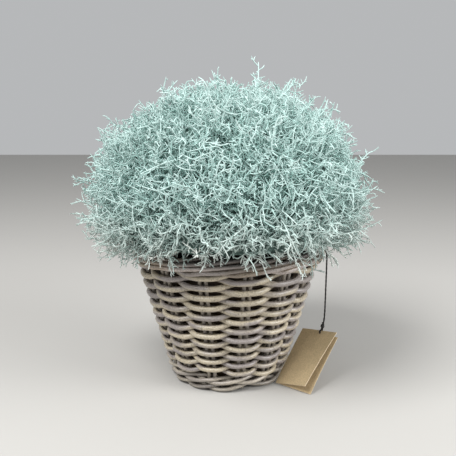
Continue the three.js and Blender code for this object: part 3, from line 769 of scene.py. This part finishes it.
class Twigs:
    """Paths of twigs, each with the thickness of its points and its shade: dark is old, pale young.
    Twigs further in get a darker shade, partly older wood and partly painted shade deep in the bush.
    """

    def __init__(self, seed):
        self.draw = random.Random(seed)
        self.paths = []

    def spread(self):
        return self.draw.random() * 2 - 1

    def any_way(self):
        return Vector((self.spread(), self.spread(), self.spread()))

    def strand(self, start, way, length, radius, shade, turn_to, bend, step=TWIG_STEP):
        """One twig. It curls by up to bend, turns a little to turn_to, and ends in a blunt tip."""
        steps = max(1, round(length / step))
        point, heading = start.copy(), way.normalized()
        points, radii = [start.copy()], [radius]
        axis = self.any_way()
        curl = Matrix.Rotation(bend * self.draw.random() / steps, 3, axis)
        for i in range(1, steps + 1):
            jolt = self.any_way() * 0.11
            heading = (curl @ heading + jolt + turn_to / steps).normalized()
            point = clear_of_basket(point + heading * (length / steps))
            points.append(point.copy())
            taper = 1 - 0.25 * i / steps if i < steps else 0.6
            radii.append(radius * taper * (0.9 + 0.25 * self.draw.random()))
        self.paths.append((points, {"radius": radii, "shade": shade}))
        return points

    def side_way(self, heading, turn):
        """A way that leans off a twig's heading, turned round the twig."""
        lean = math.radians(BRANCH_LEAN + LEAN_SPREAD * self.spread())
        across = heading.cross(UP if abs(heading.z) < 0.9 else Vector((1, 0, 0))).normalized()
        across = Matrix.Rotation(turn, 3, heading) @ across
        return (heading * math.cos(lean) + across * math.sin(lean)).normalized()

    def shoot(self, start, way, length, shade, outward, apart):
        """A curved main twig with branchlets all round it, from short nubs to long ones that fork."""
        lift = (outward * 0.7 + UP * 0.25) * 0.8
        stem = self.strand(start, way, length, TWIG_RADIUS, shade, lift, 2.2)
        palest = max(shade, 0.94)
        turn = FULL_TURN * self.draw.random()
        branchlets = max(3, round(length / apart))
        for k in range(branchlets):
            share = 0.15 + 0.8 * (k + self.draw.random() * 0.7) / branchlets
            root, heading = place_on(stem, share)
            turn += 2.4 + 0.5 * self.spread()
            side = self.side_way(heading, turn)
            reach = (0.005 + 0.021 * self.draw.random() ** 1.4) * (1.2 - 0.45 * share)
            arm = self.strand(root, side, reach, TWIG_RADIUS * 0.88, min(shade + 0.06, palest),
                              lift * 0.4, 2.8, NUB_STEP)
            for _ in range(round(reach / 0.0105 + 0.6 * self.spread())):
                spot, arm_way = place_on(arm, 0.3 + 0.5 * self.draw.random())
                fork = self.side_way(arm_way, FULL_TURN * self.draw.random())
                nub = 0.003 + 0.0055 * self.draw.random() ** 1.5
                self.strand(spot, fork, nub, TWIG_RADIUS * 0.8, min(shade + 0.1, palest), lift * 0.3, 2.0,
                            NUB_STEP)


twigs = Twigs(seed=21)
draw = twigs.draw
SHOOTS = 2780
LOWEST_SINE = -0.2
SHOOTS_APART = 0.0066
LOW_SHOOTS_APART = 0.0082
LOW_SHARE_LEFT_OUT = 0.42
# Directions where the outline stands out or falls back, and by what share of its reach
BULGES = [
    (Vector((-0.87, 0, 0.5)), 0.07),
    (Vector((-1, 0, -0.02)), 0.04),
    (Vector((-0.66, 0, 0.75)), -0.03),
    (Vector((-0.1, 0, 0.99)), 0.03),
    (Vector((0.62, 0, 0.78)), 0.05),
    (Vector((0.88, 0, 0.48)), -0.03),
]
for i in range(SHOOTS):
    sine = 1 - (i + 0.5) / SHOOTS * (1 - LOWEST_SINE)
    outward = toward(i * GOLDEN_ANGLE, sine)
    level = Vector((outward.x, outward.y, 0)).normalized()
    # Its tip lies on the lumpy dome or a layer further in, where it is darker, partly as older wood
    # and partly as painted shade, and a few stand out
    lumps = 0.045 * noise.noise(outward * 3.1 + Vector((3, 1, 7))) + 0.03 * noise.noise(outward * 9)
    lumps += sum(size * max(0, outward.dot(way)) ** 16 for way, size in BULGES)
    layer = draw.random()
    share = 0.975 - 0.17 * layer ** 1.4 + lumps - 0.03 * max(0, sine) ** 2 + 0.07 * draw.random() ** 12
    end = BUSH_MIDDLE + outward * outline_reach(outward) * share
    # It slants off the dome, more so on the sides
    tangent = twigs.any_way().cross(outward).normalized()
    slant = math.radians(15 + (35 + 35 * (1 - max(0, sine))) * draw.random())
    way = (outward * math.cos(slant) + tangent * math.sin(slant)).normalized()
    length = 0.030 + 0.026 * draw.random()
    start = end - way * length * 0.9
    # The bush hangs to just under the rim, lower in places, and its edge rises outside and in front
    lowest = 0.187 + 0.42 * max(0, math.hypot(end.x, end.y) - 0.145) + 0.018 * max(0, -level.y) ** 1.5
    lowest -= 0.006 * abs(level.x) ** 3 + 0.014 * max(0, -level.x) ** 3
    if end.z < lowest:
        end.z = lowest + 0.008 * draw.random()
        start = end - way * length * 0.9
    if start.z < ABOVE_RIM:
        start = level * (0.125 + 0.03 * draw.random()) + UP * (0.206 + 0.01 * draw.random())
        way = (end - start).normalized()
    if sine < 0.2 and draw.random() < LOW_SHARE_LEFT_OUT:
        continue
    apart = SHOOTS_APART if sine > 0.2 else LOW_SHOOTS_APART
    # Deeper layers are darker: partly older wood, partly painted shade deep in the bush.
    twigs.shoot(start, way, length, 0.8 - 0.5 * layer, outward, apart)

# Darker twigs further in, which show between the outer ones: older wood, and partly painted
# shade deep in the bush
INNER_TWIGS = 2600
for i in range(INNER_TWIGS):
    outward = toward(i * GOLDEN_ANGLE, 1 - (i + 0.5) / INNER_TWIGS * 1.05)
    start = BUSH_MIDDLE + outward * outline_reach(outward) * (0.81 + 0.1 * draw.random())
    way = outward * 0.5 + twigs.any_way()
    if start.z > ABOVE_RIM:
        twigs.strand(start, way, 0.012 + 0.012 * draw.random(), TWIG_RADIUS, 0.25 + 0.25 * draw.random(),
                     outward * 0.3, 2.6)

# Pale twigs that lie along the rim and droop over it
HANGING = 125
for i in range(HANGING):
    level = toward((i + 0.8 * draw.random()) / HANGING * math.tau, 0)
    start = level * (0.136 + 0.012 * draw.random()) + UP * (0.205 + 0.012 * draw.random())
    along = level.cross(UP) * (1.3 * twigs.spread())
    way = (level * 0.4 + along - UP * (0.15 + 0.75 * draw.random())).normalized()
    length = 0.012 + 0.028 * draw.random() ** 2
    pale = 0.86 + 0.14 * draw.random()
    droop = level * 0.5 - UP * (0.3 + 0.5 * draw.random())
    twigs.shoot(start, way, length, pale, droop, 0.0068)

# The few shoots that have outgrown the dome: the turn and the sine of their direction, and how far
# their tips reach
LONG_SHOOTS = [
    (-0.1, 0.98, 0.230),
    (3.2, 0.06, 0.214),
    (0.1, -0.03, 0.202),
    (2.5, 0.62, 0.206),
    (0.6, 0.6, 0.205),
    (-1.4, 0.45, 0.2),
    (1.7, 0.5, 0.204),
    (4.4, 0.2, 0.2),
    (0.2, 0.52, 0.21),
    (3.0, 0.42, 0.207),
]
LONG_SHOOT = 0.062
for turn, sine, reach in LONG_SHOOTS:
    outward = toward(turn, sine)
    end = BUSH_MIDDLE + outward * reach
    start = end - (outward + UP * 0.15).normalized() * LONG_SHOOT
    twigs.shoot(start, end - start, LONG_SHOOT, 0.75, outward, SHOOTS_APART)

# Wands that arch over the surface, most of them low on the bush
WANDS = 90
for i in range(WANDS):
    outward = toward(FULL_TURN * draw.random(), 0.9 * draw.random() ** 1.5 + 0.02)
    across = twigs.any_way().cross(outward).normalized()
    way = (across + outward * (0.25 + 0.5 * draw.random())).normalized()
    length = 0.028 + 0.024 * draw.random()
    middle = BUSH_MIDDLE + outward * outline_reach(outward) * (0.93 + 0.05 * draw.random())
    start = middle - way * length / 2
    if start.z > ABOVE_RIM:
        twigs.shoot(start, way, length, 0.85, -outward, 0.0085)

# Woody branches from the head of the stem to the twigs
WOODY = 160
STEM_HEAD = Vector((0, 0, 0.19))
WOODY_RADII = {0.3: 0.0022, 0.5: 0.002, 0.7: 0.0016, 0.85: 0.0012, 1: 0.0007}
for i in range(WOODY):
    outward = toward(i * GOLDEN_ANGLE, 1 - (i + 0.5) / WOODY * 0.95)
    end = BUSH_MIDDLE + outward * outline_reach(outward) * 0.86
    points = [STEM_HEAD.lerp(end, s) + UP * 0.02 * math.sin(math.pi * s) for s in WOODY_RADII]
    twigs.paths.append((points, {"radius": list(WOODY_RADII.values()), "shade": 0.05}))


def twig_tree():
    """Sweeps a small polygon along every path, as thick as the path's points say."""
    tree, given = new_tree("twigs", {"Paths": "Geometry", "Sides": "Int", "Finish": "Material"}, "Twigs")
    path = add_node(tree, "GeometryNodeMeshToCurve", {"Mesh": given["Paths"]})
    radius = add_node(tree, "GeometryNodeInputNamedAttribute", {"Name": "radius"}, data_type="FLOAT")
    section = add_node(tree, "GeometryNodeCurvePrimitiveCircle", {"Resolution": given["Sides"],
                       "Radius": 1.0})
    swept = add_node(tree, "GeometryNodeCurveToMesh",
                     {"Curve": path.outputs[0], "Profile Curve": section.outputs[0],
                      "Scale": radius.outputs[0], "Fill Caps": True})
    soft = add_node(tree, "GeometryNodeSetShadeSmooth", {0: swept.outputs[0]})
    return close_tree(tree, soft, given["Finish"], "Twigs")


def silver_felt():
    """Silver felt: short white hairs over a grey-green twig. Young tips are palest, old wood inside is
    darker and greener, and the hairs give a soft sheen. The darker twigs further in are partly
    painted shade deep in the bush. Near the rim the twigs are greyed: the dark ones are painted
    darker, a painted shade under the dome, and the young ones almost white. The felt's flecks are
    about 1 mm, to show at all."""
    finish, tree, shader = new_finish("silver felt")
    shade = add_node(tree, "ShaderNodeAttribute", attribute_name="shade").outputs["Fac"]
    number = add_node(tree, "ShaderNodeAttribute", attribute_name="number").outputs["Fac"]
    age = add_node(tree, "ShaderNodeValToRGB", {"Fac": shade})
    ramp = age.color_ramp.elements
    ramp[0].position, ramp[0].color = 0.0, linear("#8eada4")
    ramp[1].position, ramp[1].color = 0.95, linear("#cbe2de")
    middle = ramp.new(0.4)
    middle.color = linear("#b6d7d1")
    youngest = ramp.new(1.0)
    youngest.color = linear("#eef2ec")
    vary = mapped(tree, number, (0, 1), (0.86, 1.04))
    place = add_node(tree, "ShaderNodeTexCoord").outputs["Object"]
    felt = cloudy(tree, place, 900, 3)
    fleck = mapped(tree, felt, (0.3, 0.7), (0.86, 1.08))
    colour = scaled(tree, age.outputs["Color"], worked(tree, "MULTIPLY", vary, fleck))
    height = add_node(tree, "ShaderNodeSeparateXYZ", {0: place}).outputs[2]
    # Near the rim, dark twigs are painted darker as painted shade under the dome; pale ones are greyed
    # almost white.
    low = mapped(tree, height, (0.19, 0.27), (0.68, 0))
    dust_and_shade = mixed(tree, shade, linear("#46534e"), linear("#e4e6e0"))
    plug(tree, shader, {"Base Color": mixed(tree, low, colour, dust_and_shade), "Roughness": 0.85,
         "Sheen Weight": 0.12, "Sheen Roughness": 0.5, "Normal": relief(tree, felt, 0.0004, 0.5)})
    return finish


TWIG_TREE = twig_tree()
FELT = silver_felt()
SECTORS = 5
sectors = [[] for _ in range(SECTORS)]
for path in twigs.paths:
    foot = path[0][0] - BUSH_MIDDLE
    sectors[int((math.atan2(foot.y, foot.x) / math.tau + 0.5) * SECTORS) % SECTORS].append(path)
for sector, paths in enumerate(sectors):
    piece = paths_piece(f"twigs_{sector + 1}", paths, "number", draw)
    grown(piece, TWIG_TREE, Sides=3, Finish=FELT)
    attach(piece, "root")
    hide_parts("cushion_bush")


# Heart of the bush
# The tangle of old twigs inside, too dense and dark to see into, drawn as one lumpy mass. The
# short stem under it never shows, so it isn't drawn.
HEART_SHARE = 0.8
HEART_BOTTOM = 0.204

lump = bmesh.new()
bmesh.ops.create_icosphere(lump, subdivisions=5, radius=1)
for vertex in lump.verts:
    way = vertex.co.normalized()
    rough = 0.05 * noise.noise(way * 5) + 0.05 * noise.noise(way * 17) + 0.03 * noise.noise(way * 41)
    vertex.co = BUSH_MIDDLE + way * outline_reach(way) * (HEART_SHARE + rough)
    vertex.co.z = max(vertex.co.z, HEART_BOTTOM)
heart = smooth_piece("bush_heart", lump)


def old_twigs():
    """Old wood and withered felt in deep shade: dark grey-green, broken up as fine as the twigs are,
    and painted darker towards the bottom, a painted shade under the bush.
    """
    finish, tree, shader = new_finish("old twigs")
    place = add_node(tree, "ShaderNodeTexCoord").outputs["Object"]
    tangle = cloudy(tree, place, 260, 4, 0.6)
    colour = add_node(tree, "ShaderNodeValToRGB", {"Fac": tangle})
    ramp = colour.color_ramp.elements
    ramp[0].position, ramp[0].color = 0.4, linear("#48655e")
    ramp[1].position, ramp[1].color = 0.7, linear("#9cc0b7")
    height = add_node(tree, "ShaderNodeSeparateXYZ", {0: place}).outputs[2]
    # The lower part is painted darker: painted shade under the dome of twigs.
    shade_below = mapped(tree, height, (0.21, 0.29), (0.5, 1))
    plug(tree, shader, {"Base Color": scaled(tree, colour.outputs["Color"], shade_below), "Roughness": 0.9,
         "Normal": relief(tree, tangle, 0.004)})
    return finish


heart.data.materials.append(old_twigs())
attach(heart, "root")
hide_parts("cushion_bush")


# Tag
# One stiff kraft card folded in two, cut clean, with a punched hole near its top edge. It leans on
# the basket on its fold, and its back leaf rests on the surface. Its printed side is left bare.
def kraft_card():
    """Kraft board: unbleached brown, matt, with long pale and dark fibres pressed flat."""
    finish, tree, shader = new_finish("kraft board")
    place = add_node(tree, "ShaderNodeTexCoord").outputs["Object"]
    turned = add_node(tree, "ShaderNodeMapping", {"Vector": place, "Rotation": (0.5, 0.3, 0.9),
                      "Scale": (1, 0.3, 1)})
    fibres = cloudy(tree, turned.outputs[0], 900, 5, 0.65)
    colour = add_node(tree, "ShaderNodeValToRGB", {"Fac": fibres})
    ramp = colour.color_ramp.elements
    ramp[0].position, ramp[0].color = 0.28, linear("#a39171")
    ramp[1].position, ramp[1].color = 0.72, linear("#ccb48c")
    soft = mapped(tree, cloudy(tree, place, 70, 2), (0, 1), (0.9, 1.1))
    tinted = scaled(tree, colour.outputs["Color"], soft)
    facing = add_node(tree, "ShaderNodeNewGeometry")
    square = add_node(tree, "ShaderNodeVectorMath",
                      {0: facing.outputs["True Normal"], 1: tuple(CARD_FACING)}, operation="DOT_PRODUCT")
    level = add_node(tree, "ShaderNodeMath", {0: square.outputs["Value"]}, operation="ABSOLUTE")
    # The cut edges, whose faces are not square to the card, are painted paler: a painted highlight where
    # they catch the light.
    edge_highlight = mapped(tree, level.outputs[0], (0.2, 0.5), (1, 0))
    plug(tree, shader, {"Base Color": mixed(tree, edge_highlight, tinted, linear("#e3d3b4")), "Roughness": 0.82,
         "Normal": relief(tree, fibres, 0.0003, 0.25)})
    return finish


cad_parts["tag"].data.materials.clear()
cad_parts["tag"].data.materials.append(kraft_card())


# Floor and light
# A plain pale surface and soft studio light: a broad box high on the left in front, a weaker one on
# the right, and even light from all round.
FLOOR_SIDE = 8
LIGHT_SIDE = 1.1
LIT_PLACE = Vector((0, 0, 0.2))


def pale_floor():
    finish, tree, shader = new_finish("pale floor")
    plug(tree, shader, {"Base Color": linear("#b4b2ae"), "Roughness": 0.9})
    return finish


def soft_box(name, place, watts):
    light = bpy.data.lights.new(name, "AREA")
    light.shape = "SQUARE"
    light.size = LIGHT_SIDE
    light.energy = watts
    box = placed(name, light)
    box.location = place
    box.rotation_euler = (Vector(place) - LIT_PLACE).to_track_quat("Z", "Y").to_euler()


floor = mesh_piece("floor", [(x * FLOOR_SIDE / 2, y * FLOOR_SIDE / 2, 0) for x, y in
                             ((-1, -1), (1, -1), (1, 1), (-1, 1))], [], [(0, 1, 2, 3)])
floor.data.materials.append(pale_floor())

soft_box("key_light", (-0.95, -1.0, 1.95), 62)
soft_box("fill_light", (1.7, -0.7, 1.05), 36)
world = bpy.data.worlds.new("studio")
world.use_nodes = True
plug(world.node_tree, world.node_tree.nodes["Background"], {"Color": linear("#eef0f2"), "Strength": 0.55})
bpy.context.scene.world = world
bpy.context.scene.view_settings.view_transform = "Standard"
